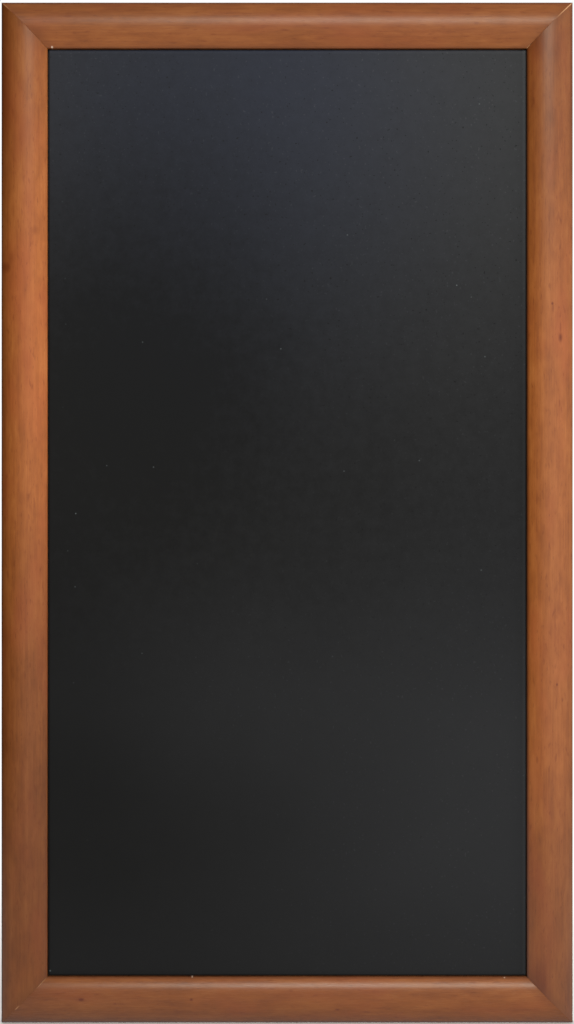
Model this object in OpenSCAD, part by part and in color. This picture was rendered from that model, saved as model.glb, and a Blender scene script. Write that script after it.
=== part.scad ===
// Framed chalkboard for a wall: a black writing panel held in a mitred, crowned wooden moulding,
// with folding D-ring hangers on the back for hanging it upright or sideways.
// It stands upright: X is to the right, the writing face looks along -Y, Z is up,
// and the origin is on the wall behind the middle of the board.

/* [Board] */
// Overall width of the frame
board_w = 560; // [400:1:800]
// Overall height of the frame
board_h = 1000; // [600:1:1400]

/* [Moulding] */
// Width of the moulding's face
moulding_w = 45; // [42:0.5:60]
// Thickness from the flat back to the top of the crown
moulding_t = 22; // [21:0.5:28]
// Rise of the crowned front above its two edges
crown_rise = 9; // [4:0.1:10]
// Rounding of the outer front edge
outer_edge_r = 2; // [1:0.1:4]
// Rounding of the lip's front edge
lip_edge_r = 1.4; // [0.5:0.1:2]
// Rounding of the outer back edge
back_edge_r = 1; // [0.4:0.1:2]
// Width of the rabbet that takes the panel
rabbet_w = 10; // [9:0.5:12]
// Depth of the rabbet from the back
rabbet_d = 8.5; // [7:0.1:9]

/* [Panel] */
// Play between the panel's edge and the rabbet wall
panel_play = 1; // [0.5:0.1:2]
// Thickness of the coated writing sheet
sheet_t = 0.8; // [0.5:0.1:1.2]
// Thickness of the hardboard core
core_t = 3.2; // [2.5:0.1:4]
// Thickness of the backing sheet
backing_t = 0.3; // [0.2:0.1:0.6]

/* [Corner nails] */
// Length of each wing of a V-shaped nail
nail_wing = 7; // [4:0.5:9]
// Steel thickness of a nail
nail_t = 0.7; // [0.4:0.1:1]
// How deep a nail is driven
nail_depth = 9; // [6:0.5:11]
// Distance of the outer nail's tip from the frame's edges
nail_first = 13; // [10:0.5:15]
// Step from the outer nail to the inner one
nail_step = 12; // [9:0.5:16]

/* [Panel points] */
// Number of points on each stile
stile_points = 4; // [2:1:8]
// Number of points on each rail
rail_points = 2; // [1:1:4]
// Width of a point
point_w = 5.5; // [4:0.5:8]
// Steel thickness of a point
point_t = 0.5; // [0.3:0.1:0.8]
// Depth of a point in the wood
point_bite = 7; // [4:0.5:9]
// Length of a point over the panel
point_reach = 8; // [5:0.5:8.5]
// Clipped corners of a point's free end
point_clip = 1.4; // [0.5:0.1:2]

/* [Hangers] */
// Distance of the stile hangers' ring axis below the top edge
stile_hanger_drop = 160; // [120:1:260]
// Distance of the rail hangers' ring axis from the left edge
rail_hanger_inset = 130; // [110:1:180]
// Width of the strap
strap_w = 14; // [12:0.5:16]
// Thickness of the strap's steel
strap_t = 0.8; // [0.6:0.1:1]
// Slit between the strap's two leaves
fold_gap = 0.1; // [0.05:0.05:0.2]
// Radius of the bend where the upper leaf leaves the eye
eye_bend_r = 1.2; // [0.8:0.1:1.6]
// How much the round tail's radius exceeds half of the strap's width
tail_ease = 1; // [0.5:0.1:3]
// Steel between the eye and the first screw's head
eye_to_head = 4; // [3:0.1:6]
// Gap between the folded ring and the second screw's head
bow_to_head = 4; // [2:0.1:8]
// Steel from the second screw's axis to the tail's tip
tail_land = 7; // [5:0.1:10]

/* [Rings] */
// Diameter of the ring's wire
wire_d = 2.5; // [2:0.1:2.8]
// Play of the wire in the eye, on the radius
eye_play = 0.08; // [0.03:0.01:0.1]
// Play between the strap's sides and the ring's corners
ring_side_play = 0.6; // [0.4:0.1:1.5]
// Inner radius of the ring's lower corners
ring_corner_inner_r = 1.15; // [0.6:0.05:1.5]
// Gap between the first screw's head and the bow of the folded ring
head_to_bow = 1.8; // [1:0.1:4]
// Gap between a ring at rest and the frame's back
ring_rest_gap = 0.3; // [0.2:0.05:0.5]

/* [Screws] */
// Diameter of the screw's shank
screw_d = 3.5; // [2.5:0.1:4]
// Length of the screw under its head
screw_len = 15; // [10:0.5:16]
// Length of the screw's pointed tip
screw_tip = 4; // [2:0.5:5]
// Diameter of the screw's blunt point
screw_point_d = 0.9; // [0.5:0.1:1.5]
// Diameter of the pan head
head_d = 6.8; // [5.5:0.1:7]
// Height of the pan head
head_h = 2.2; // [1.8:0.1:2.4]
// Radius of the head's dome
dome_r = 4.6; // [4.4:0.1:8]
// Play of the shank in the strap's holes, on the radius
strap_hole_play = 0.25; // [0.1:0.05:0.4]
// Play of the shank in its pilot hole, on the radius
pilot_play = 0.05; // [0.02:0.01:0.1]
// Depth of the pilot hole past the screw's point
pilot_spare = 0.5; // [0.2:0.1:1]
// Arm length of the cross recess, tip to tip
recess_l = 3.8; // [3:0.1:4.4]
// Width of the cross recess's arms
recess_w = 0.9; // [0.6:0.1:1.1]
// Depth of the cross recess
recess_d = 1.3; // [0.8:0.1:1.5]

/* [Bumpers] */
// Diameter of a wall bumper
bumper_d = 14; // [10:0.5:20]
// Thickness of a bumper, which is the frame's distance from the wall
bumper_t = 5; // [4.8:0.1:8]
// Chamfer round a bumper's outer rim
bumper_chamfer = 1.2; // [0.5:0.1:2]
// Distance of a bumper's centre from the top or bottom edge
bumper_inset = 62; // [50:1:80]

/* [Hidden] */
$fn = 96;
// Extra length of a cutting shape past the face that it cuts
over = 1;
// Share of an edge's radius by which its arc passes the two faces that it rounds, so that they cross cleanly
arc_pass = 0.01;
// How far a corner's cutting shape reaches from the arc's centre, in radii
cut_reach = 3;

wood = [0.56, 0.33, 0.19];
black = [0.13, 0.13, 0.14];
hardboard = [0.47, 0.33, 0.21];
kraft = [0.55, 0.42, 0.29];
zinc = [0.74, 0.75, 0.76];
steel = [0.56, 0.57, 0.58];
rubber = [0.16, 0.16, 0.16];

// Levels above the wall, with the board lying on its back
back_z = bumper_t;
lip_z = back_z + rabbet_d;
sheet_z = lip_z - sheet_t;
core_z = sheet_z - core_t;
backing_z = core_z - backing_t;

// Plan of the frame and its panel
flat_back_w = moulding_w - rabbet_w;
seat_in = flat_back_w / 2;
panel_w = board_w - 2 * (flat_back_w + panel_play);
panel_h = board_h - 2 * (flat_back_w + panel_play);
crown_r = (pow(moulding_w / 2, 2) + pow(crown_rise, 2)) / (2 * crown_rise);
crown_centre = [moulding_w / 2, moulding_t - crown_r];

// Strap and ring
wire_r = wire_d / 2;
eye_r = wire_r + eye_play;
eye_outer_r = eye_r + strap_t;
axis_h = eye_outer_r;
strap_top = 2 * strap_t + fold_gap;
first_screw = eye_outer_r + eye_to_head + head_d / 2;
ring_corner_r = wire_r + ring_corner_inner_r;
bar_half = strap_w / 2 + ring_side_play;
bow_r = bar_half + ring_corner_r;
bow_top = first_screw + head_d / 2 + head_to_bow + wire_r;
bow_centre = bow_top - bow_r;
ring_leg = bow_centre - ring_corner_r;
ring_lean = asin((axis_h - wire_r - ring_rest_gap) / bow_top);
second_screw = bow_top + wire_r + bow_to_head + head_d / 2;
screw_places = [first_screw, second_screw];
strap_end = second_screw + tail_land;
tail_r = strap_w / 2 + tail_ease;
shank_len = screw_len - screw_tip;
pilot_depth = screw_len - strap_top + pilot_spare;

// Each hanger's ring axis, and the turn of its ring from straight up
hangers = [
    [seat_in - board_w / 2, board_h / 2 - stile_hanger_drop, 0],
    [board_w / 2 - seat_in, board_h / 2 - stile_hanger_drop, 0],
    [rail_hanger_inset - board_w / 2, board_h / 2 - seat_in, 90],
    [rail_hanger_inset - board_w / 2, seat_in - board_h / 2, 90]
];

// Each side of the frame: its turn from the bottom rail, length, distance from the middle, points
sides = [
    [0, board_w, board_h / 2, rail_points],
    [90, board_h, board_w / 2, stile_points],
    [180, board_w, board_h / 2, rail_points],
    [270, board_h, board_w / 2, stile_points]
];
bottom_side = 0;
right_side = 1;
top_side = 2;
left_side = 3;

// Stands the board up from lying on its back.
module stand() {
    rotate([90, 0, 0]) children();
}

// Along one side: x runs along it, y inwards from its outer edge, z up from the wall.
module on_side(side) {
    rotate([0, 0, sides[side][0]]) translate([0, -sides[side][2], 0]) children();
}

// On one hanger: x across the strap, y towards the ring, z out of the frame's back.
module on_hanger(place) {
    translate([place[0], place[1], back_z])
        rotate([0, 0, place[2]])
            rotate([0, 180, 0])
                children();
}

// Centre of the arc that rounds the corner between the straight side and the crown.
function edge_centre(r) = [
    r,
    crown_centre[1] + sqrt(pow(crown_r - r, 2) - pow(crown_centre[0] - r, 2))
];

// What is taken off the corner between the straight side and the crown.
module front_edge_cut(r) {
    middle = edge_centre(r * (1 - arc_pass));
    outward = (middle - crown_centre) / norm(middle - crown_centre);
    reach = cut_reach * r;
    difference() {
        translate(middle)
            polygon([[0, 0], [-reach, 0], [-reach, 0] + reach * outward, reach * outward]);
        translate(middle) circle(r);
    }
}

// Section of the moulding: x from the outer edge to the lip, y from the flat back to the crown.
module moulding_section() {
    difference() {
        intersection() {
            square([moulding_w, moulding_t]);
            translate(crown_centre) circle(crown_r);
        }
        translate([flat_back_w, -over]) square([rabbet_w + over, rabbet_d + over]);
        front_edge_cut(outer_edge_r);
        translate([moulding_w, 0]) mirror([1, 0]) front_edge_cut(lip_edge_r);
        difference() {
            square(2 * back_edge_r, center = true);
            translate([back_edge_r, back_edge_r] * (1 - arc_pass)) circle(back_edge_r);
        }
    }
}

// Plan of one side between its two mitres.
module mitred_plan(length) {
    outer = length / 2 + over;
    inner = length / 2 - moulding_w - over;
    polygon([[-outer, -over], [outer, -over], [inner, moulding_w + over], [-inner, moulding_w + over]]);
}

// One side of the frame, with its seats for nails, points and screws.
module frame_side(side) {
    length = sides[side][1];
    color(wood) difference() {
        on_side(side) translate([0, 0, back_z]) intersection() {
            rotate([90, 0, 90])
                linear_extrude(height = length + 2 * over, center = true) moulding_section();
            translate([0, 0, -over])
                linear_extrude(height = moulding_t + 2 * over) mitred_plan(length);
        }
        nail_set();
        on_side(side) point_row(sides[side][3], length);
        for (place = hangers) on_hanger(place) pilot_holes();
    }
}

// Plan of one V-shaped nail, with its tip towards the middle of the board.
module nail_plan() {
    polygon([[0, 0], [nail_wing, 0], [nail_wing, nail_t], [nail_t, nail_t], [nail_t, nail_wing],
        [0, nail_wing]]);
}

// All corner nails, two across each mitre, flush with the frame's back.
module nail_set() {
    for (across = [0, 1], up = [0, 1], place = [nail_first, nail_first + nail_step])
        mirror([across, 0, 0]) mirror([0, up, 0])
            translate([board_w / 2 - place, board_h / 2 - place, back_z])
                linear_extrude(height = nail_depth) nail_plan();
}

// A layer of the panel.
module panel_layer(low, thickness) {
    translate([-panel_w / 2, -panel_h / 2, low]) cube([panel_w, panel_h, thickness]);
}

// One flat point: sharp in the wood, with clipped corners over the panel.
module panel_point() {
    half = point_w / 2;
    translate([0, flat_back_w, backing_z - point_t]) linear_extrude(height = point_t) polygon([
        [0, -point_bite], [half, half - point_bite], [half, point_reach - point_clip],
        [half - point_clip, point_reach], [point_clip - half, point_reach],
        [-half, point_reach - point_clip], [-half, half - point_bite]
    ]);
}

// The points along one side, evenly spread.
module point_row(count, length) {
    step = (length - 2 * flat_back_w) / count;
    for (i = [0 : count - 1]) translate([step * (i + 0.5 - count / 2), 0, 0]) panel_point();
}

// Side view of the folded strap: x from the ring's axis to the tail, y out of the frame's back.
module strap_section() {
    bend = eye_bend_r * (1 - arc_pass);
    bend_y = strap_top + bend - axis_h;
    bend_x = sqrt(pow(eye_outer_r + bend, 2) - pow(bend_y, 2));
    difference() {
        union() {
            translate([0, axis_h]) circle(eye_outer_r);
            square([strap_end, strap_top]);
            difference() {
                translate([0, axis_h])
                    polygon([[0, strap_t - axis_h], [bend_x, bend_y - eye_bend_r], [bend_x, bend_y], [0, 0]]);
                translate([bend_x, axis_h + bend_y]) circle(eye_bend_r);
            }
        }
        translate([0, axis_h]) circle(eye_r);
        translate([0, strap_t]) square([strap_end + over, fold_gap]);
    }
}

// Plan of the strap: square at the eye and round at the tail.
module strap_plan() {
    translate([-strap_w / 2, tail_r - strap_end]) square([strap_w, strap_end - tail_r + 2 * eye_outer_r]);
    intersection() {
        translate([0, tail_r - strap_end]) circle(tail_r);
        translate([-strap_w / 2, -strap_end]) square([strap_w, 2 * tail_r]);
    }
}

// A strap folded round its ring's bar, with two screw holes through both leaves.
module strap(place) {
    color(zinc) on_hanger(place) difference() {
        intersection() {
            rotate([90, 0, -90])
                linear_extrude(height = strap_w, center = true) strap_section();
            translate([0, 0, -over]) linear_extrude(height = 2 * axis_h + 2 * over) strap_plan();
        }
        for (y = screw_places) translate([0, -y, -over])
            cylinder(r = screw_d / 2 + strap_hole_play, h = strap_top + 2 * over);
    }
}

// A quarter or half turn of the ring's wire, in the ring's own plane.
module wire_bend(radius, from, sweep) {
    rotate([0, 0, from]) rotate_extrude(angle = sweep) translate([radius, 0]) circle(wire_r);
}

// A D-shaped ring: a straight bar in the eye, two bent corners, two legs and a round bow.
module ring(place) {
    color(zinc) on_hanger(place) translate([0, 0, axis_h]) rotate([-ring_lean, 0, 0]) {
        translate([-bar_half, 0, 0]) rotate([0, 90, 0]) cylinder(r = wire_r, h = 2 * bar_half);
        translate([bar_half, ring_corner_r, 0]) wire_bend(ring_corner_r, -90, 90);
        translate([-bar_half, ring_corner_r, 0]) wire_bend(ring_corner_r, 180, 90);
        for (x = [-bow_r, bow_r]) translate([x, ring_corner_r, 0])
            rotate([-90, 0, 0]) cylinder(r = wire_r, h = ring_leg);
        translate([0, bow_centre, 0]) wire_bend(bow_r, 0, 180);
    }
}

// The drilled holes under one hanger.
module pilot_holes() {
    for (y = screw_places) translate([0, -y, -pilot_depth])
        cylinder(r = screw_d / 2 + pilot_play, h = pilot_depth + over);
}

// A pan-head wood screw, standing on its head's underside with the shank below.
module wood_screw() {
    difference() {
        union() {
            rotate_extrude() intersection() {
                square([head_d / 2, head_h]);
                translate([0, head_h - dome_r]) circle(dome_r);
            }
            translate([0, 0, -shank_len]) cylinder(d = screw_d, h = shank_len);
            translate([0, 0, -screw_len]) cylinder(d1 = screw_point_d, d2 = screw_d, h = screw_tip);
        }
        for (turn = [0, 90]) rotate([0, 0, turn])
            translate([-recess_l / 2, -recess_w / 2, head_h - recess_d])
                cube([recess_l, recess_w, recess_d + over]);
    }
}

module left_stile() { stand() frame_side(left_side); }

module right_stile() { stand() frame_side(right_side); }

module top_rail() { stand() frame_side(top_side); }

module bottom_rail() { stand() frame_side(bottom_side); }

module corner_nails() { color(steel) stand() nail_set(); }

module writing_surface() { color(black) stand() panel_layer(sheet_z, sheet_t); }

module panel_core() { color(hardboard) stand() panel_layer(core_z, core_t); }

module backing_sheet() { color(kraft) stand() panel_layer(backing_z, backing_t); }

module panel_points() {
    color(steel) stand() for (i = [bottom_side, right_side, top_side, left_side])
        on_side(i) point_row(sides[i][3], sides[i][1]);
}

module left_strap() { stand() strap(hangers[0]); }

module right_strap() { stand() strap(hangers[1]); }

module upper_side_strap() { stand() strap(hangers[2]); }

module lower_side_strap() { stand() strap(hangers[3]); }

module left_ring() { stand() ring(hangers[0]); }

module right_ring() { stand() ring(hangers[1]); }

module upper_side_ring() { stand() ring(hangers[2]); }

module lower_side_ring() { stand() ring(hangers[3]); }

module hanger_screws() {
    color(steel) stand() for (place = hangers, y = screw_places)
        on_hanger(place) translate([0, -y, strap_top]) wood_screw();
}

module wall_bumpers() {
    rim = bumper_d / 2;
    profile = [[0, 0], [rim, 0], [rim, bumper_t - bumper_chamfer], [rim - bumper_chamfer, bumper_t],
        [0, bumper_t]];
    color(rubber) stand() for (across = [-1, 1], up = [-1, 1])
        translate([across * (board_w / 2 - seat_in), up * (board_h / 2 - bumper_inset), back_z])
            rotate([180, 0, 0]) rotate_extrude() polygon(profile);
}

left_stile();
right_stile();
top_rail();
bottom_rail();
corner_nails();
writing_surface();
panel_core();
backing_sheet();
panel_points();
left_strap();
right_strap();
upper_side_strap();
lower_side_strap();
left_ring();
right_ring();
upper_side_ring();
lower_side_ring();
hanger_screws();
wall_bumpers();
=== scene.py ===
import math

import bmesh
import bpy
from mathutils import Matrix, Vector, noise


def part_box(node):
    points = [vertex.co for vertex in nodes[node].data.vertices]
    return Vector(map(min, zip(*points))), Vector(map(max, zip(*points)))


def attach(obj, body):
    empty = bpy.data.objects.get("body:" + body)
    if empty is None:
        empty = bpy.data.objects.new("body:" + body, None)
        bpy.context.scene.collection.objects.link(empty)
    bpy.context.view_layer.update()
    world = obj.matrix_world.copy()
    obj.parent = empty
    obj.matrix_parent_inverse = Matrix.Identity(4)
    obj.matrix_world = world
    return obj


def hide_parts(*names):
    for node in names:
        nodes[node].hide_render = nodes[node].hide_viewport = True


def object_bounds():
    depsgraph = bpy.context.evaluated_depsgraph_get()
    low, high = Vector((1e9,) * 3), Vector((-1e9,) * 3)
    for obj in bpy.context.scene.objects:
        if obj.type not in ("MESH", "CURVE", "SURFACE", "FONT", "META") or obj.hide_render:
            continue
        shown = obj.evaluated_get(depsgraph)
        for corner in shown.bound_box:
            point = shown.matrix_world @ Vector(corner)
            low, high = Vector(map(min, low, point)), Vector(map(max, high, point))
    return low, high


# The looks of a framed chalkboard, in metres, in the frame of its solids: X right, face towards -Y, Z up
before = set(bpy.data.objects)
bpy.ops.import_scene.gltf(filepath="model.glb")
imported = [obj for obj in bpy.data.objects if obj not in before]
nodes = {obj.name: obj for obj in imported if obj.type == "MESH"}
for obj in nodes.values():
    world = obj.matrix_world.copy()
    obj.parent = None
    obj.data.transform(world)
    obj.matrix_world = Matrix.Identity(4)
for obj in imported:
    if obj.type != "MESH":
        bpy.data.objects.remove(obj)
cad_low, cad_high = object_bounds()

# Sizes read from the solids
stile_low, stile_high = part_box("left_stile")
sheet_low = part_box("writing_surface")[0]
BOARD_W = cad_high.x - cad_low.x
BOARD_H = cad_high.z - cad_low.z
MOULDING_W = stile_high.x - stile_low.x
BACK_Y = stile_high.y
MIDDLE_Y = (stile_low.y + stile_high.y) / 2
RABBET_D = BACK_Y - sheet_low.y
PANEL_HALF_W = BOARD_W / 2 - MOULDING_W
PANEL_HALF_H = BOARD_H / 2 - MOULDING_W

# The moulding's section, as the solids have it
MOULDING_T = 0.022
CROWN_RISE = 0.009
OUTER_EDGE_R = 0.002
LIP_EDGE_R = 0.0014
BACK_EDGE_R = 0.001
RABBET_W = 0.010
CROWN_R = ((MOULDING_W / 2) ** 2 + CROWN_RISE ** 2) / (2 * CROWN_RISE)

# The four sides of the frame: inwards, along, distance of the outer edge from the middle, outer length
SIDES = {
    "left_stile": ((1, 0, 0), (0, 0, 1), BOARD_W / 2, BOARD_H),
    "right_stile": ((-1, 0, 0), (0, 0, 1), BOARD_W / 2, BOARD_H),
    "top_rail": ((0, 0, -1), (1, 0, 0), BOARD_H / 2, BOARD_W),
    "bottom_rail": ((0, 0, 1), (1, 0, 0), BOARD_H / 2, BOARD_W),
}

# How the sides are drawn: steps round the section and along it, ease of the arrises at the mitres, and the
# angle from which an edge stays sharp
CROWN_STEPS = 44
EDGE_STEPS = 8
SIDE_STEP = 0.005
MITRE_EASE = 0.00015
MITRE_EASE_STEPS = 3
SHARP_ANGLE = math.radians(32)
# The waviness of planed wood: its height and its length
HAND_WAVE = 0.00005
HAND_WAVE_LENGTH = 0.06
# How far apart the noises of one side and the next lie, in their waviness, their stain and their raw back
WAVE_SHIFT = 10
STAIN_SHIFT = 7.3
RAW_SHIFT = 3.1

# How each side is finished, and where light and shade are painted on it:
# stain, how light it is at even steps from its lower or left end to the other, partly the wood's own tone
# and partly painted shade where the lamps' light falls off along the side
# lip, painted light: how much lighter the lip is than the middle, towards the lower or left end and towards
# the other, to even out how the lamps light its slope
# lacquer, its specular level and its least roughness
# painted shade on the edges: how dark the outer front edge, the slope next to it and the lip's edge are
# where they turn away from the light
# marks, knots and darker patches: place along and across the side, length, width and strength; the long
# thin strips along outer edges are painted shade
# chips, specks of bare wood, given in the same way
FINISH_AND_PAINTED_LIGHT = {
    "left_stile": {
        "stain": (0.55, 0.56, 0.75, 1.03, 0.91, 0.63),
        "lip": (-0.06, 0.20),
        "lacquer": (0.31, 0.28),
        "edges": (0.95, 0.28, 0.15),
        "marks": [
            (0.276, -0.246, 0.013, 0.011, 0.3),
            (0.240, -0.275, 0.016, 0.016, 0.5),
            (0.248, -0.270, 0.024, 0.008, 0.3),
            # A strip of painted shade on the outer edge and slope near the top
            (0.420, -0.280, 0.260, 0.030, 0.4),
        ],
        "chips": [],
    },
    "right_stile": {
        "stain": (0.61, 0.88, 1.20, 1.10, 0.82, 0.61),
        "lip": (0.12, 0.0),
        "lacquer": (0.45, 0.28),
        "edges": (0.35, 0.14, 0.80),
        "marks": [
            (0.204, 0.259, 0.005, 0.0035, 0.9),
            (0.200, 0.2595, 0.014, 0.004, 0.35),
            (0.171, 0.267, 0.014, 0.006, 0.8),
            (0.180, 0.267, 0.020, 0.003, 0.35),
            (0.457, 0.247, 0.044, 0.022, 0.4),
            (-0.458, 0.247, 0.062, 0.026, 0.6),
            (-0.168, 0.2635, 0.0045, 0.003, 0.8),
            (-0.183, 0.2690, 0.007, 0.003, 0.4),
            # A strip of painted shade along the outer edge near the top
            (0.430, 0.2785, 0.260, 0.005, 0.5),
        ],
        "chips": [],
    },
    "top_rail": {
        "stain": (0.65, 0.66, 0.70, 0.70),
        "lip": (0.22, 0.11),
        "lacquer": (0.33, 0.28),
        "edges": (0.60, 0.0, 0.30),
        "marks": [
            (-0.002, 0.471, 0.014, 0.002, 0.6),
            (-0.243, 0.469, 0.036, 0.020, 0.4),
        ],
        "chips": [(-0.2303, 0.4560, 0.0030, 0.0028, 1.0)],
    },
    "bottom_rail": {
        "stain": (0.61, 0.70, 0.76, 0.82),
        "lip": (0.13, 0.13),
        "lacquer": (0.37, 0.215),
        "edges": (0.80, 0.0, 0.60),
        "marks": [
            (-0.201, -0.4755, 0.009, 0.005, 1.0),
            (-0.186, -0.4705, 0.009, 0.003, 0.5),
            (-0.168, -0.4795, 0.004, 0.003, 0.8),
            (-0.162, -0.4795, 0.014, 0.002, 0.4),
            (-0.0935, -0.4755, 0.005, 0.004, 1.0),
            (0.049, -0.4855, 0.007, 0.003, 0.8),
        ],
        "chips": [(-0.093, -0.4552, 0.0020, 0.0016, 0.8), (0.213, -0.4558, 0.0022, 0.0018, 0.6)],
    },
}
# Stretches of the mitres that stand slightly open, and one painted highlight drawn in the same way: signs
# of X and Z, where the pale wood begins, is widest and ends on the way in from the outer edge, and how much
# of it shows
OPEN_MITRES_AND_GLINT = [
    (1, 1, 0.0, 0.0025, 0.021, 0.9),
    (1, 1, 0.0400, 0.0435, 0.0465, 0.45),
    (-1, 1, 0.0, 0.0030, 0.0120, 0.25),
    (-1, -1, 0.0135, 0.0155, 0.0195, 0.5),
    # A painted highlight along the lower left mitre near the lip, drawn as pale wood
    (-1, -1, 0.0320, 0.0400, 0.0465, 0.35),
]
# Distances from a mitre between which its bare wood and the painted highlight fade
OPEN_MITRE_FADE = (0.0003, 0.0009)
# Distances from the middle lines of the board between which the quarter round a corner begins
QUARTER_EDGE = (0.0, 0.01)
# Widths of the painted shade along the outer front edge, on the slope next to it and on the lip's edge
OUTER_SHADE_BAND = 0.003
SLOPE_SHADE_BAND = 0.012
LIP_SHADE_BAND = 0.003
# Heights above the flat back between which the outer side passes into the front edge
FRONT_EDGE = (0.008, 0.012)
# Shares of a side's length between which the painted light on its lip changes
PAINTED_LIP_LIGHT_CHANGE = (0.15, 0.6)

# A fade is four numbers: two values of what it follows, and its own values there
# Fades of the stain, by distance from a mitre: a thin dark line and a wide shade
MITRE_LINE = (0.0, 0.0008, 0.2, 0.0)
MITRE_SHADE = (0.0, 0.016, 0.18, 0.0)
# Fades of the stain, by a noise: redder wood, flecks, and marks that the fibres break up
RED_WOOD = (0.45, 0.75, 0.0, 0.5)
FLECKS = (0.62, 0.76, 0.0, 0.26)
BROKEN_MARKS = (0.2, 0.6, 0.6, 1.0)
# Levels of their noise between which pores open, and how dark they are
PORE_LEVELS = (0.66, 0.78)
PORE_DARKNESS = 0.35
# Soft ovals: how far from the middle they begin to fade, as a share, and half their depth into the face
SPOT_CORE = 0.1
SPOT_HALF_DEPTH = 0.5
# Levels between which most of a noise lies, and the roughness that the coat has at them
NOISE_SPAN = (0.3, 0.7)
COAT_ROUGHNESS = (0.42, 0.5)
# How much rougher than at their smoothest lacquer and plated metal become
LACQUER_SPREAD = 0.08
PLATE_SPREAD = 0.12
# Levels of their noise between which patches of plated metal turn dull, and how bright they stay
DULL_LEVELS = (0.35, 0.7)
DULL_SHADE = 0.78
# Stain that ran over the edge of the back: its fade by distance from the edge, and how far it wavers
STAIN_RUN = (0.0005, 0.004, 0.8, 0.0)
STAIN_RUN_WAVER = 0.012

# Fades of the film of wiped chalk on the panel, which is partly painted sheen of the lamps, along X or Z:
# the height from which the top's film grows, the right side's film and its growth downwards, and the foot's
# film and its fall to the right
TOP_FILM_AND_SHEEN_FOOT_X = (-0.22, 0.22, 0.12, 0.0)
RIGHT_FILM_AND_SHEEN_X = (-0.22, 0.25, 0.0, 1.0)
RIGHT_FILM_AND_SHEEN_Z = (0.0, -0.24, 0.22, 0.50)
FOOT_FILM_AND_SHEEN_Z = (-0.34, -0.46, 0.0, 1.0)
FOOT_FILM_AND_SHEEN_X = (-0.2, 0.2, 0.08, -0.10)
# The height at which the top's film and painted sheen is thickest, and how thick it is there
TOP_FILM_AND_SHEEN_HEIGHT = 0.48
TOP_FILM_AND_SHEEN = 0.48
# Patches of thicker or thinner film and painted sheen: place along X and Z, width, height and strength
FILM_AND_SHEEN_PATCHES = [
    (-0.10, -0.17, 0.50, 0.32, 0.10),
    (-0.11, 0.27, 0.32, 0.64, -0.11),
]
# The bluer upper part of the panel: place along X and Z, width and height, and what it does to the colour
BLUE_PATCH = (-0.06, 0.43, 0.64, 0.95)
BLUE_CAST = (0.77, 0.87, 1.22, 1.0)
# Fades along Z of what there is less of low down: the film's mottle, pits in the coat and small specks
MOTTLE_Z = (-0.22, 0.0, 0.05, 0.28)
PITS_Z = (-0.2, 0.0, 0.3, 1.0)
SPECKS_Z = (-0.22, -0.12, 0.2, 1.0)
# Fades of pits and dust by a noise
PITS = (0.69, 0.78, 0.0, 0.7)
DUST = (0.32, 0.24, 0.0, 0.4)
# Small specks of chalk, one to a cell of this size: their fade by distance in cells, and by a random draw
SPECK_CELL = 0.065
SPECK_RIM = (0.0043, 0.0155, 1.0, 0.0)
SPECK_DRAW = (0.45, 1.0, 0.0, 0.33)
# The largest specks of chalk: place along X and Z, width, height and strength
CHALK_SPECKS = [
    (-0.2077, -0.001, 0.0018, 0.0018, 0.8),
    (0.1667, 0.2233, 0.0018, 0.0018, 0.8),
    (-0.1772, 0.0461, 0.0016, 0.0016, 0.5),
    (-0.2329, -0.4503, 0.0024, 0.0024, 0.8),
]
# Along the lip, by side: how far the painted shadow of the lip reaches over the coat, and how much painted
# light lifts the coat where the lip shades it
LIP_PAINTED_SHADOW = {"left": 0.0025, "right": 0.0009, "top": 0.0012, "foot": 0.0013}
LIP_PAINTED_LIGHT = {"left": 0.0, "right": 0.65, "top": 0.6, "foot": 0.0}
# How far from the lip the painted shadow is full black, and between which distances the painted light fades
LIP_FULL_PAINTED_SHADOW = 0.0005
LIP_PAINTED_LIGHT_FADE = (0.001, 0.005)

# Photograph and camera
PHOTO_H_PX = 1024
PX_PER_M = 1019.0
OUTLINE_OFF_CENTRE_PX = (0.1, 0.5)
CAMERA_DISTANCE = 2.0
SENSOR = 36.0

# Light from all round: its level, and how it grows to the right, to the back and upwards
ROOM_LEVEL = 0.08
ROOM_SLOPE = (0.90, -1.06, 0.0)
# The room as reflections see it, in the same way, and the sideways directions between which its dark left
# side ends
MIRRORED_LEVEL = 0.48
MIRRORED_SLOPE = (0.0, -0.42, 0.0)
MIRRORED_EDGE = (-1.05, 0.35)
# Where reflections pass from the room to the white backdrop, by how far they point backwards
BACKDROP_EDGE = (0.5, 0.95)
# Lamps that look at the board's middle: place, width and height, power, colour and if reflections show them
LAMPS = {
    "top": ((0.2, -2.0, 1.38), (1.1, 0.65), 18, (1.0, 0.98, 0.84), True),
    "behind_left": ((-0.9, 2.2, 1.0), (1.2, 1.2), 50, (1, 1, 1), False),
    "behind_right": ((1.2, 2.0, 1.5), (1.2, 1.2), 25, (1, 1, 1), False),
}
# Half the floor's width, and the distances from its middle over which it fades into the backdrop
FLOOR_HALF_W = 1.1
FLOOR_FADE = (0.35, 1.0)
# The floor's reflection, by distance from the board: it grows from its shaded foot to white
FLOOR_REFLECTION = (0.0, 0.03, 0.4, 1.0)
# The floor as it is seen, and as it throws light back
FLOOR_COLOUR = (0.85, 0.85, 0.85, 1)
FLOOR_BOUNCE = (0.58, 0.58, 0.58, 1)


def shader_tree(name):
    """A new material, its node tree and its Principled shader."""
    material = bpy.data.materials.new(name)
    material.use_nodes = True
    tree = material.node_tree
    return material, tree, tree.nodes["Principled BSDF"]


def connect(tree, socket, value):
    """Sets a socket to a constant, or links it to another node's output."""
    if isinstance(value, bpy.types.NodeSocket):
        tree.links.new(value, socket)
    else:
        socket.default_value = value


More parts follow.
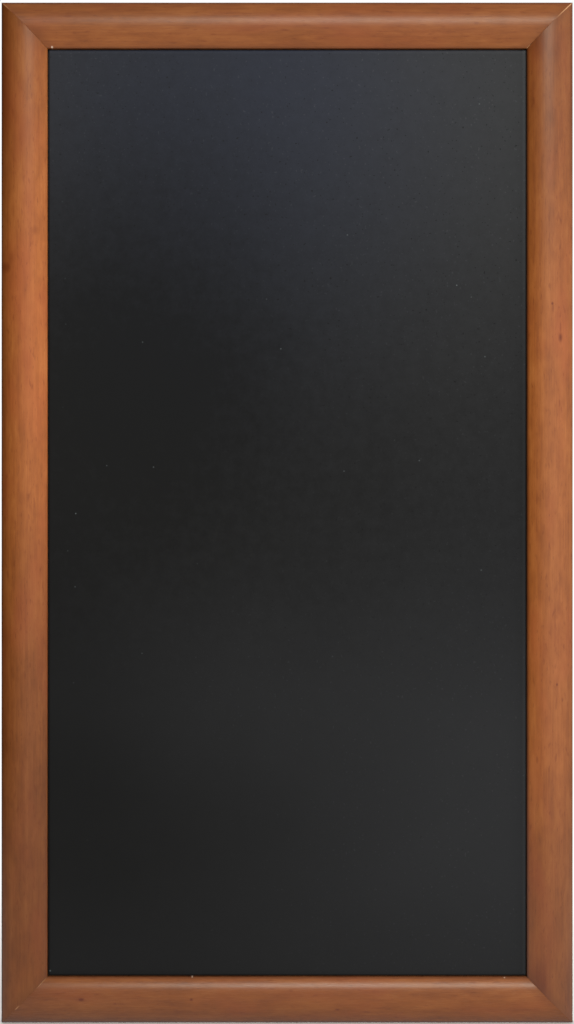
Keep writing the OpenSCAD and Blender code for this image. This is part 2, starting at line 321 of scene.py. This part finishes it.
def coordinates(tree):
    """The point's place on the object at rest, in metres."""
    return tree.nodes.new("ShaderNodeTexCoord").outputs["Object"]


def even(size):
    """A cell that is equally long along all three axes."""
    return (size, size, size)


def stretched(tree, vector, cell, shift=(0, 0, 0)):
    """The vector in cells of the given size, moved by a shift in cells."""
    mapping = tree.nodes.new("ShaderNodeMapping")
    connect(tree, mapping.inputs["Vector"], vector)
    mapping.inputs["Scale"].default_value = [1 / size for size in cell]
    mapping.inputs["Location"].default_value = shift
    return mapping.outputs["Vector"]


def noise_of(tree, vector, cell, shift=(0, 0, 0), detail=2.0, roughness=0.5, distortion=0.0):
    """Soft noise around 0.5, with one bump to a cell of the given size."""
    made = tree.nodes.new("ShaderNodeTexNoise")
    connect(tree, made.inputs["Vector"], stretched(tree, vector, cell, shift))
    made.inputs["Scale"].default_value = 1.0
    made.inputs["Detail"].default_value = detail
    made.inputs["Roughness"].default_value = roughness
    made.inputs["Distortion"].default_value = distortion
    return made.outputs["Fac"]


def grain_noise(tree, place, length, width, shift, detail=2.0, roughness=0.5, distortion=0.0):
    """Soft noise in the wood, with one bump to a length along the grain and a width across it."""
    return noise_of(tree, place, (length, width, width), shift, detail, roughness, distortion)


def calc(tree, operation, first, second=0.0, third=0.0):
    """One step of arithmetic on sockets or numbers."""
    made = tree.nodes.new("ShaderNodeMath")
    made.operation = operation
    for socket, value in zip(made.inputs, (first, second, third)):
        connect(tree, socket, value)
    return made.outputs[0]


def ranged(tree, value, low, high, to_low=0.0, to_high=1.0, smooth=True):
    """The value brought from one range to another and held there."""
    made = tree.nodes.new("ShaderNodeMapRange")
    made.interpolation_type = "SMOOTHSTEP" if smooth else "LINEAR"
    for name, number in (
        ("Value", value), ("From Min", low), ("From Max", high), ("To Min", to_low), ("To Max", to_high)
    ):
        connect(tree, made.inputs[name], number)
    return made.outputs["Result"]


def mixed(tree, share, first, second, blend="MIX"):
    """Two colours mixed by a share."""
    made = tree.nodes.new("ShaderNodeMix")
    made.data_type = "RGBA"
    made.blend_type = blend
    colour_inputs = [socket for socket in made.inputs if socket.type == "RGBA"]
    connect(tree, made.inputs[0], share)
    for socket, value in zip(colour_inputs, (first, second)):
        connect(tree, socket, value)
    return next(socket for socket in made.outputs if socket.type == "RGBA")


def ramp(tree, value, stops, blend="LINEAR"):
    """A colour for each value, by a list of (place, colour)."""
    made = tree.nodes.new("ShaderNodeValToRGB")
    made.color_ramp.interpolation = blend
    elements = made.color_ramp.elements
    while len(elements) < len(stops):
        elements.new(1.0)
    for element, (place, colour) in zip(elements, stops):
        element.position = place
        element.color = colour
    connect(tree, made.inputs["Fac"], value)
    return made.outputs["Color"]


def bump(tree, height, distance, strength):
    """A normal from a height between 0 and 1 that stands for the given distance."""
    made = tree.nodes.new("ShaderNodeBump")
    made.inputs["Strength"].default_value = strength
    made.inputs["Distance"].default_value = distance
    connect(tree, made.inputs["Height"], height)
    return made.outputs["Normal"]


def srgb(red, green, blue):
    """A display colour of 0 to 255 as the linear colour that a shader takes."""
    linear = []
    for level in (red, green, blue):
        share = level / 255
        linear.append(share / 12.92 if share <= 0.04045 else ((share + 0.055) / 1.055) ** 2.4)
    return (*linear, 1.0)


def split_axes(tree, vector):
    """The three numbers of a vector."""
    made = tree.nodes.new("ShaderNodeSeparateXYZ")
    connect(tree, made.inputs[0], vector)
    return [made.outputs[axis] for axis in "XYZ"]


def face_place(tree, along):
    """The place as a face has it: along the named axis, across the face and into it."""
    x, y, z = split_axes(tree, coordinates(tree))
    joined = tree.nodes.new("ShaderNodeCombineXYZ")
    order = (z, x, y) if along == "Z" else (x, z, y)
    for socket, number in zip(joined.inputs, order):
        tree.links.new(number, socket)
    return joined.outputs[0]


def distance_of(tree, vector):
    """The length of a vector."""
    made = tree.nodes.new("ShaderNodeVectorMath")
    made.operation = "LENGTH"
    connect(tree, made.inputs[0], vector)
    return made.outputs["Value"]


def spot(tree, place, run, across, length, width, strength=1.0):
    """A soft oval on a face, by its place and size there: its strength in the middle, and 0 outside."""
    half = (length / 2, width / 2, SPOT_HALF_DEPTH)
    shift = (-run / half[0], -across / half[1], 0)
    away = distance_of(tree, stretched(tree, place, half, shift))
    return ranged(tree, away, SPOT_CORE, 1.0, strength, 0.0)


def spots(tree, place, marks):
    """A mask of soft ovals."""
    mask = 0.0
    for mark in marks:
        mask = calc(tree, "MAXIMUM", mask, spot(tree, place, *mark))
    return mask


def swing(tree, tone, value, amount):
    """A tone with a noise around 0.5 added to it by an amount."""
    return calc(tree, "MULTIPLY_ADD", calc(tree, "SUBTRACT", value, 0.5), amount, tone)


def ray_kinds(tree):
    """Whether a ray comes from the camera, and whether it has been mirrored or let through."""
    path = tree.nodes.new("ShaderNodeLightPath")
    mirrored = calc(tree, "MAXIMUM", path.outputs["Is Glossy Ray"], path.outputs["Is Transmission Ray"])
    return path.outputs["Is Camera Ray"], mirrored


def bare_mitres_and_painted_glint(tree, colour, edge_gap, joint_gap):
    """The colour with bare wood in the stretches of the mitres that stand open, and one painted highlight.
    """
    x, _, z = split_axes(tree, coordinates(tree))
    joint = ranged(tree, joint_gap, *OPEN_MITRE_FADE, 1.0, 0.0)
    for x_sign, z_sign, start, widest, end, shown in OPEN_MITRES_AND_GLINT:
        rightwards = calc(tree, "MULTIPLY", x, x_sign)
        upwards = calc(tree, "MULTIPLY", z, z_sign)
        corner = calc(tree, "MINIMUM", rightwards, upwards)
        gap = calc(tree, "MULTIPLY", joint, ranged(tree, corner, *QUARTER_EDGE))
        gap = calc(tree, "MULTIPLY", gap, ranged(tree, edge_gap, start, widest))
        gap = calc(tree, "MULTIPLY", gap, ranged(tree, edge_gap, widest, end, shown, 0.0))
        colour = mixed(tree, gap, colour, srgb(226, 172, 124))
    return colour


def stained_wood(node, seed):
    """Fine hardwood under a brown stain and satin lacquer, with its grain along the side, and with light
    and shade painted along it, across it and on its edges.
    """
    along, reach, length = SIDES[node][1:]
    finish_and_painted_light = FINISH_AND_PAINTED_LIGHT[node]
    material, tree, shader = shader_tree(node + "_stain")
    place = face_place(tree, "Z" if along[2] else "X")
    run, across, depth = split_axes(tree, place)
    on_front = ranged(tree, calc(tree, "SUBTRACT", BACK_Y, depth), *FRONT_EDGE)
    edge_gap = calc(tree, "SUBTRACT", reach, calc(tree, "ABSOLUTE", across))
    end_gap = calc(tree, "SUBTRACT", length / 2, calc(tree, "ABSOLUTE", run))
    joint_gap = calc(tree, "SUBTRACT", end_gap, edge_gap)

    # Growth: soft clouds, redder wood, long streaks, short figure and flecks, grain, fine fibres and pores
    cloud = grain_noise(tree, place, 0.045, 0.014, (seed, 0, 0), detail=3.0, roughness=0.55)
    red = grain_noise(tree, place, 0.09, 0.03, (seed, seed, 0))
    streak = grain_noise(tree, place, 0.16, 0.005, (0, seed, 0), detail=3.0, distortion=0.3)
    figure = grain_noise(tree, place, 0.014, 0.004, (seed, seed, seed))
    fleck = grain_noise(tree, place, 0.011, 0.003, (seed, 0, 5.0), detail=1.0)
    grain = grain_noise(tree, place, 0.05, 0.0013, (seed, 0, seed))
    fibre = grain_noise(tree, place, 0.012, 0.0005, (0, 0, seed))
    pore = grain_noise(tree, place, 0.006, 0.0007, (0, seed, seed), detail=1.0)
    tone = 0.5
    for value, amount in ((cloud, 0.75), (streak, 0.35), (figure, 0.4), (grain, 0.4), (fibre, 0.2)):
        tone = swing(tree, tone, value, amount)
    colour = ramp(tree, tone, [
        (0.0, srgb(126, 65, 27)),
        (0.5, srgb(168, 95, 43)),
        (1.0, srgb(196, 120, 61)),
    ])
    colour = mixed(tree, ranged(tree, red, *RED_WOOD), colour, srgb(172, 88, 46))

    # Stain and painted light: lighter and darker along the side, partly the wood's own tone and partly
    # painted shade of the lamps' falloff, and across it painted light on the lip's slope
    share = calc(tree, "MULTIPLY_ADD", run, 1 / length, 0.5)
    last = len(finish_and_painted_light["stain"]) - 1
    steps = [(i / last, (level, level, level, 1)) for i, level in enumerate(finish_and_painted_light["stain"])]
    colour = mixed(tree, 1.0, colour, ramp(tree, share, steps, "CARDINAL"), "MULTIPLY")
    # Painted light across the side: the lip's slope made lighter or darker to even out how the lamps light
    # it
    slant = ranged(tree, edge_gap, 0.0, MOULDING_W, -1.0, 1.0, smooth=False)
    slope = ranged(tree, share, *PAINTED_LIP_LIGHT_CHANGE, *finish_and_painted_light["lip"])
    colour = mixed(tree, 1.0, colour, calc(tree, "MULTIPLY_ADD", slant, slope, 1.0), "MULTIPLY")

    # Stain: darker in knots and flecks, in pores and at the mitres; painted shade on the outer edge, the
    # slope beside it and the lip's edge
    mark = spots(tree, place, finish_and_painted_light["marks"])
    mark = calc(tree, "MULTIPLY", mark, ranged(tree, fibre, *BROKEN_MARKS))
    mark = calc(tree, "MAXIMUM", mark, ranged(tree, fleck, *FLECKS))
    colour = mixed(tree, mark, colour, srgb(100, 34, 7))
    # Painted shade where the outer edge, the slope beside it and the lip's edge turn away from the light
    outer, outer_slope_shade, lip = finish_and_painted_light["edges"]
    dark = calc(tree, "MULTIPLY", ranged(tree, edge_gap, 0.0, OUTER_SHADE_BAND, outer, 0.0), on_front)
    for darker in (
        ranged(tree, edge_gap, 0.0, SLOPE_SHADE_BAND, outer_slope_shade, 0.0),
        ranged(tree, edge_gap, MOULDING_W - LIP_SHADE_BAND, MOULDING_W, 0.0, lip),
        ranged(tree, pore, *PORE_LEVELS, 0.0, PORE_DARKNESS),
        ranged(tree, joint_gap, *MITRE_LINE),
        ranged(tree, joint_gap, *MITRE_SHADE),
    ):
        dark = calc(tree, "MAXIMUM", dark, darker)
    colour = mixed(tree, dark, colour, srgb(58, 26, 10))
    colour = mixed(tree, spots(tree, place, finish_and_painted_light["chips"]), colour, srgb(238, 212, 190))
    colour = bare_mitres_and_painted_glint(tree, colour, edge_gap, joint_gap)
    connect(tree, shader.inputs["Base Color"], colour)

    # Lacquer
    level, roughness = finish_and_painted_light["lacquer"]
    satin = ranged(tree, fibre, *NOISE_SPAN, roughness, roughness + LACQUER_SPREAD)
    connect(tree, shader.inputs["Roughness"], satin)
    shader.inputs["Specular IOR Level"].default_value = level
    height = calc(tree, "SUBTRACT", fibre, ranged(tree, pore, *PORE_LEVELS))
    connect(tree, shader.inputs["Normal"], bump(tree, height, distance=0.00002, strength=0.5))
    return material


def raw_wood(node, seed):
    """The unlacquered back of a side: pale and planed, with stain that ran over its outer edge."""
    along, reach = SIDES[node][1:3]
    material, tree, shader = shader_tree(node + "_raw")
    place = face_place(tree, "Z" if along[2] else "X")
    across = split_axes(tree, place)[1]
    edge_gap = calc(tree, "SUBTRACT", reach, calc(tree, "ABSOLUTE", across))
    streak = grain_noise(tree, place, 0.18, 0.003, (0, seed, 0), detail=4.0, roughness=0.6, distortion=0.4)
    fibre = grain_noise(tree, place, 0.010, 0.0004, (0, 0, seed))
    smear = grain_noise(tree, place, 0.030, 0.012, (seed, 0, 0), detail=4.0, roughness=0.6)
    colour = ramp(tree, swing(tree, streak, fibre, 0.4), [
        (0.2, srgb(140, 100, 66)),
        (0.5, srgb(178, 136, 94)),
        (0.8, srgb(200, 160, 118)),
    ])
    stain = ranged(tree, swing(tree, edge_gap, smear, STAIN_RUN_WAVER), *STAIN_RUN)
    colour = mixed(tree, stain, colour, srgb(116, 62, 28))
    connect(tree, shader.inputs["Base Color"], colour)
    shader.inputs["Roughness"].default_value = 0.75
    shader.inputs["Specular IOR Level"].default_value = 0.2
    connect(tree, shader.inputs["Normal"], bump(tree, fibre, distance=0.00005, strength=0.6))
    return material


def chalk_film_and_sheen(tree, face, clouds):
    """How thick the film of wiped chalk and painted sheen is: thickest at the top and to the right, and
    swung by clouds.
    """
    x, z = split_axes(tree, face)[:2]
    film_and_sheen = ranged(tree, z, ranged(tree, x, *TOP_FILM_AND_SHEEN_FOOT_X), TOP_FILM_AND_SHEEN_HEIGHT, 0.0, TOP_FILM_AND_SHEEN)
    right = calc(tree, "MULTIPLY", ranged(tree, x, *RIGHT_FILM_AND_SHEEN_X), ranged(tree, z, *RIGHT_FILM_AND_SHEEN_Z))
    foot = calc(tree, "MULTIPLY", ranged(tree, z, *FOOT_FILM_AND_SHEEN_Z), ranged(tree, x, *FOOT_FILM_AND_SHEEN_X))
    patches = [spot(tree, face, *patch) for patch in FILM_AND_SHEEN_PATCHES]
    for part in (right, *patches, foot):
        film_and_sheen = calc(tree, "ADD", film_and_sheen, part)
    for value, amount in clouds:
        film_and_sheen = swing(tree, film_and_sheen, value, amount)
    return film_and_sheen


def chalk_specks(tree, face):
    """A mask of the specks of chalk: small ones strewn over the panel, and the largest in their places."""
    cells = tree.nodes.new("ShaderNodeTexVoronoi")
    cells.voronoi_dimensions = "2D"
    connect(tree, cells.inputs["Vector"], stretched(tree, face, (SPECK_CELL, SPECK_CELL, 1.0)))
    cells.inputs["Scale"].default_value = 1.0
    draw = split_axes(tree, cells.outputs["Color"])[0]
    z = split_axes(tree, face)[1]
    speck = ranged(tree, cells.outputs["Distance"], *SPECK_RIM)
    speck = calc(tree, "MULTIPLY", speck, ranged(tree, draw, *SPECK_DRAW))
    speck = calc(tree, "MULTIPLY", speck, ranged(tree, z, *SPECKS_Z))
    return calc(tree, "MAXIMUM", speck, spots(tree, face, CHALK_SPECKS))


def black_coating():
    """The satin black writing coat under a film of wiped chalk and painted sheen, brighter at the top and
    right, with pits, dust and specks of chalk.
    """
    material, tree, shader = shader_tree("black_coating")
    place = coordinates(tree)
    face = face_place(tree, "X")
    x, z = split_axes(tree, face)[:2]
    cloud = noise_of(tree, place, (0.16, 0.16, 0.12), detail=4.0, roughness=0.55, distortion=0.3)
    mottle = noise_of(tree, place, even(0.013), detail=3.0, roughness=0.75)
    grit = noise_of(tree, place, even(0.0026), detail=1.0)
    tooth = noise_of(tree, place, even(0.0011), detail=1.0)
    mottled = ranged(tree, z, *MOTTLE_Z)
    film_and_sheen = chalk_film_and_sheen(tree, face, ((cloud, 0.14), (mottle, mottled), (tooth, 0.06)))
    # The film and painted sheen lighten the coat, most at the top and to the right
    colour = mixed(tree, film_and_sheen, srgb(24, 24, 24), srgb(61, 62, 65))
    colour = mixed(tree, spot(tree, face, *BLUE_PATCH), colour, BLUE_CAST, "MULTIPLY")
    pit = calc(tree, "MULTIPLY", ranged(tree, grit, *PITS), ranged(tree, z, *PITS_Z))
    colour = mixed(tree, pit, colour, srgb(18, 18, 19))
    dust = calc(tree, "MULTIPLY", ranged(tree, grit, *DUST), film_and_sheen)
    colour = mixed(tree, dust, colour, srgb(84, 86, 90))
    colour = mixed(tree, chalk_specks(tree, face), colour, srgb(120, 128, 130))

    # Along the lip a painted shadow darkens the coat to deep black, and on some sides painted light lifts
    # the coat where the lip shades it
    gaps = {
        "left": calc(tree, "ADD", PANEL_HALF_W, x),
        "right": calc(tree, "SUBTRACT", PANEL_HALF_W, x),
        "top": calc(tree, "SUBTRACT", PANEL_HALF_H, z),
        "foot": calc(tree, "ADD", PANEL_HALF_H, z),
    }
    for side, gap in gaps.items():
        painted_light = ranged(tree, gap, *LIP_PAINTED_LIGHT_FADE, 1 + LIP_PAINTED_LIGHT[side], 1.0)
        painted_shadow = ranged(tree, gap, LIP_FULL_PAINTED_SHADOW, LIP_PAINTED_SHADOW[side], 1.0, 0.0)
        colour = mixed(tree, 1.0, colour, painted_light, "MULTIPLY")
        colour = mixed(tree, painted_shadow, colour, srgb(7, 6, 6))
    connect(tree, shader.inputs["Base Color"], colour)
    connect(tree, shader.inputs["Roughness"], ranged(tree, cloud, *NOISE_SPAN, *COAT_ROUGHNESS))
    shader.inputs["Specular IOR Level"].default_value = 0.1
    connect(tree, shader.inputs["Normal"], bump(tree, tooth, distance=0.00002, strength=0.4))
    return material


def pressed_board():
    """Brown hardboard."""
    material, tree, shader = shader_tree("hardboard")
    fleck = noise_of(tree, coordinates(tree), even(0.002), detail=4.0, roughness=0.7)
    connect(tree, shader.inputs["Base Color"], ramp(tree, fleck, [
        (0.3, srgb(96, 68, 44)),
        (0.7, srgb(128, 94, 62)),
    ]))
    shader.inputs["Roughness"].default_value = 0.8
    return material


def brown_paper():
    """Brown backing paper with fibres and cloudy patches."""
    material, tree, shader = shader_tree("backing_paper")
    place = coordinates(tree)
    fibre = noise_of(tree, place, (0.0012, 0.0012, 0.0025), detail=4.0, roughness=0.65)
    cloud = noise_of(tree, place, even(0.06), detail=3.0)
    connect(tree, shader.inputs["Base Color"], ramp(tree, swing(tree, fibre, cloud, 0.4), [
        (0.2, srgb(120, 92, 64)),
        (0.8, srgb(160, 128, 94)),
    ]))
    shader.inputs["Roughness"].default_value = 0.85
    connect(tree, shader.inputs["Normal"], bump(tree, fibre, distance=0.00004, strength=0.5))
    return material


def plated_metal(name, colour, roughness):
    """Plated steel with fine brushing and a few dull patches."""
    material, tree, shader = shader_tree(name)
    place = coordinates(tree)
    dull = noise_of(tree, place, even(0.006), detail=3.0, roughness=0.6)
    scratch = noise_of(tree, place, (0.0002, 0.0002, 0.004))
    dull_colour = (*(DULL_SHADE * level for level in colour[:3]), 1.0)
    patches = ranged(tree, dull, *DULL_LEVELS)
    connect(tree, shader.inputs["Base Color"], mixed(tree, patches, colour, dull_colour))
    shader.inputs["Metallic"].default_value = 1.0
    brushed = ranged(tree, dull, *NOISE_SPAN, roughness, roughness + PLATE_SPREAD)
    connect(tree, shader.inputs["Roughness"], brushed)
    connect(tree, shader.inputs["Normal"], bump(tree, scratch, distance=0.00001, strength=0.3))
    return material


def soft_rubber():
    """Dark moulded rubber with a matt skin."""
    material, tree, shader = shader_tree("bumper_rubber")
    grit = noise_of(tree, coordinates(tree), even(0.0005))
    connect(tree, shader.inputs["Base Color"], ramp(tree, grit, [
        (0.3, srgb(38, 38, 39)),
        (0.7, srgb(52, 52, 53)),
    ]))
    shader.inputs["Roughness"].default_value = 0.7
    connect(tree, shader.inputs["Normal"], bump(tree, grit, distance=0.00003, strength=0.5))
    return material


def arc(centre, radius, first, last, steps):
    """Points of an arc between two angles, both ends included."""
    angles = [first + (last - first) * i / steps for i in range(steps + 1)]
    return [(centre[0] + radius * math.cos(a), centre[1] + radius * math.sin(a)) for a in angles]


def section_outline():
    """The moulding's closed outline, and which of its stretches is the first on the raw back.

    Points are (inwards from the outer edge, forwards from the flat back), from the outer back corner up
    the outer side, over the crown, down the lip and round the rabbet.
    """
    middle = (MOULDING_W / 2, MOULDING_T - CROWN_R)

    def edge(radius):
        """Centre of an edge's arc on the outer side, and the angle at which it meets the crown."""
        run = middle[0] - radius
        rise = math.sqrt((CROWN_R - radius) ** 2 - run ** 2)
        return (radius, middle[1] + rise), math.atan2(rise, -run)

    outer, outer_angle = edge(OUTER_EDGE_R)
    lip, lip_angle = edge(LIP_EDGE_R)
    lip = (MOULDING_W - lip[0], lip[1])
    lip_angle = math.pi - lip_angle
    front = arc((BACK_EDGE_R, BACK_EDGE_R), BACK_EDGE_R, 1.5 * math.pi, math.pi, EDGE_STEPS)
    front += arc(outer, OUTER_EDGE_R, math.pi, outer_angle, EDGE_STEPS)
    front += arc(middle, CROWN_R, outer_angle, lip_angle, CROWN_STEPS)[1:-1]
    front += arc(lip, LIP_EDGE_R, lip_angle, 0, EDGE_STEPS)
    front.append((MOULDING_W, RABBET_D))
    back = [(MOULDING_W - RABBET_W, RABBET_D), (MOULDING_W - RABBET_W, 0)]
    return front + back, len(front) - 1


def outward(outline):
    """Unit normals of a closed outline that runs clockwise."""
    normals = []
    for i in range(len(outline)):
        before = Vector(outline[i - 1])
        after = Vector(outline[(i + 1) % len(outline)])
        run = (after - before).normalized()
        normals.append(Vector((-run.y, run.x)))
    return normals


def side_stations(length):
    """Where a side's sections stand, from one end to the other.

    Each is a share of half its length, a gap to the mitre and how far the arris is eased there.
    """
    ends = []
    for i in range(MITRE_EASE_STEPS + 1):
        gap = MITRE_EASE * i / MITRE_EASE_STEPS
        ends.append((gap, MITRE_EASE * (1 - math.sin(0.5 * math.pi * i / MITRE_EASE_STEPS))))
    full_gap = 2 * MITRE_EASE
    ends.append((full_gap, 0))
    spans = round(length / SIDE_STEP)
    stations = [(-1, gap, ease) for gap, ease in ends]
    stations += [(2 * i / spans - 1, full_gap, 0) for i in range(1, spans)]
    stations += [(1, gap, ease) for gap, ease in reversed(ends)]
    return stations


def side_mesh(name, inwards, along, reach, length, seed):
    """One side of the frame: the section swept between its two mitres, with eased arrises there."""
    outline, first_raw = section_outline()
    normals = outward(outline)
    inwards = Vector(inwards)
    along = Vector(along)
    mesh = bmesh.new()
    rings = []
    for share, gap, ease in side_stations(length):
        ring = []
        for (depth, height), normal in zip(outline, normals):
            run = share * (length / 2 - depth - gap)
            wave = noise.noise(Vector((run, depth, height)) / HAND_WAVE_LENGTH + Vector((seed, 0, 0)))
            push = HAND_WAVE * wave - ease
            depth += push * normal.x
            height += push * normal.y
            point = along * run - inwards * (reach - depth) + Vector((0, BACK_Y - height, 0))
            ring.append(mesh.verts.new(point))
        rings.append(ring)
    count = len(outline)
    for ring, following in zip(rings, rings[1:]):
        for i in range(count):
            j = (i + 1) % count
            face = mesh.faces.new((ring[i], ring[j], following[j], following[i]))
            face.material_index = 1 if i >= first_raw else 0
            face.smooth = True
    for ring in (rings[0], rings[-1]):
        mesh.faces.new(ring).material_index = 1
    bmesh.ops.recalc_face_normals(mesh, faces=mesh.faces)
    data = bpy.data.meshes.new(name)
    mesh.to_mesh(data)
    mesh.free()
    data.set_sharp_from_angle(angle=SHARP_ANGLE)
    return data


def dress(node, material):
    """Gives a material to a solid that stays as it is."""
    data = nodes[node].data
    data.materials.clear()
    data.materials.append(material)


def area_light(name, place, size, power, colour, in_reflections):
    """A rectangular soft light, of a width and a height, that looks at the board's middle."""
    data = bpy.data.lights.new(name, "AREA")
    data.shape = "RECTANGLE"
    data.size, data.size_y = size
    data.energy = power
    data.color = colour
    light = bpy.data.objects.new(name, data)
    light.location = place
    light.rotation_euler = (-Vector(place)).to_track_quat("-Z", "Y").to_euler()
    light.visible_glossy = in_reflections
    bpy.context.scene.collection.objects.link(light)


def studio_world():
    """Soft light from all round, brightest from the front right, with a white backdrop.

    The backdrop is white to the camera all round, and in reflections where they point behind the board.
    """
    world = bpy.data.worlds.new("studio")
    bpy.context.scene.world = world
    world.use_nodes = True
    tree = world.node_tree
    direction = tree.nodes.new("ShaderNodeTexCoord").outputs["Generated"]

    def sloped(level, slope):
        """A level that grows along a slope, and never falls below 0."""
        made = tree.nodes.new("ShaderNodeVectorMath")
        made.operation = "DOT_PRODUCT"
        tree.links.new(direction, made.inputs[0])
        made.inputs[1].default_value = slope
        return calc(tree, "MAXIMUM", calc(tree, "ADD", made.outputs["Value"], level), 0.0)

    seen, mirrored = ray_kinds(tree)
    sideways, backwards = split_axes(tree, direction)[:2]
    lit_side = ranged(tree, sideways, *MIRRORED_EDGE)
    reflected = calc(tree, "MULTIPLY", sloped(MIRRORED_LEVEL, MIRRORED_SLOPE), lit_side)
    reflected = calc(tree, "MAXIMUM", reflected, ranged(tree, backwards, *BACKDROP_EDGE))
    lit = sloped(ROOM_LEVEL, ROOM_SLOPE)
    room = calc(tree, "MULTIPLY_ADD", calc(tree, "SUBTRACT", reflected, lit), mirrored, lit)
    background = tree.nodes["Background"]
    tree.links.new(calc(tree, "MAXIMUM", room, seen), background.inputs["Strength"])
    background.inputs["Color"].default_value = (1, 1, 1, 1)


def floor_paint():
    """Pale matt paint that fades to white away from the board, in reflections within a short way."""
    material, tree, shader = shader_tree("floor")
    shader.inputs["Roughness"].default_value = 0.9
    shader.inputs["Specular IOR Level"].default_value = 0.0
    place = coordinates(tree)
    seen, mirrored = ray_kinds(tree)
    connect(tree, shader.inputs["Base Color"], mixed(tree, seen, FLOOR_BOUNCE, FLOOR_COLOUR))
    from_board = calc(tree, "ABSOLUTE", split_axes(tree, place)[1])
    reflected = calc(tree, "MULTIPLY", mirrored, ranged(tree, from_board, *FLOOR_REFLECTION))
    faded = calc(tree, "MULTIPLY", ranged(tree, distance_of(tree, place), *FLOOR_FADE), seen)
    white = tree.nodes.new("ShaderNodeEmission")
    both = tree.nodes.new("ShaderNodeMixShader")
    tree.links.new(calc(tree, "MAXIMUM", faded, reflected), both.inputs[0])
    tree.links.new(shader.outputs[0], both.inputs[1])
    tree.links.new(white.outputs[0], both.inputs[2])
    tree.links.new(both.outputs[0], tree.nodes["Material Output"].inputs["Surface"])
    return material


def pale_floor():
    """A plain pale floor at the board's foot."""
    half = FLOOR_HALF_W
    mesh = bpy.data.meshes.new("floor")
    corners = [(-half, -half, 0), (half, -half, 0), (half, half, 0), (-half, half, 0)]
    mesh.from_pydata(corners, [], [(0, 1, 2, 3)])
    mesh.materials.append(floor_paint())
    floor = bpy.data.objects.new("floor", mesh)
    floor.location.z = cad_low.z
    bpy.context.scene.collection.objects.link(floor)


def photo_camera():
    """A level camera straight in front, framing the outline as the photograph does."""
    data = bpy.data.cameras.new("camera")
    data.sensor_width = SENSOR
    data.lens = SENSOR * CAMERA_DISTANCE * PX_PER_M / PHOTO_H_PX
    camera = bpy.data.objects.new("camera", data)
    camera.location = (
        -OUTLINE_OFF_CENTRE_PX[0] / PX_PER_M,
        MIDDLE_Y - CAMERA_DISTANCE,
        OUTLINE_OFF_CENTRE_PX[1] / PX_PER_M,
    )
    camera.rotation_euler = (math.pi / 2, 0, 0)
    bpy.context.scene.collection.objects.link(camera)
    bpy.context.scene.camera = camera


# The sides of the frame, drawn again with two materials each: stained front and raw back
for number, (node, side) in enumerate(SIDES.items()):
    rail = bpy.data.objects.new(node + "_wood", side_mesh(node, *side, WAVE_SHIFT * number))
    bpy.context.scene.collection.objects.link(rail)
    rail.data.materials.append(stained_wood(node, STAIN_SHIFT * number))
    rail.data.materials.append(raw_wood(node, RAW_SHIFT * number))
    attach(rail, "board")
    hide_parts(node)

# The solids that stay
zinc = plated_metal("zinc_plate", srgb(172, 174, 179), roughness=0.26)
steel = plated_metal("bare_steel", srgb(146, 147, 150), roughness=0.30)
dress("writing_surface", black_coating())
dress("panel_core", pressed_board())
dress("backing_sheet", brown_paper())
dress("wall_bumpers", soft_rubber())
for node in ("corner_nails", "panel_points", "hanger_screws"):
    dress(node, steel)
for hanger in ("left", "right", "upper_side", "lower_side"):
    dress(hanger + "_strap", zinc)
    dress(hanger + "_ring", zinc)

# Light, floor and camera
studio_world()
for name, lamp in LAMPS.items():
    area_light(name, *lamp)
pale_floor()
photo_camera()
bpy.context.scene.view_settings.view_transform = "Standard"
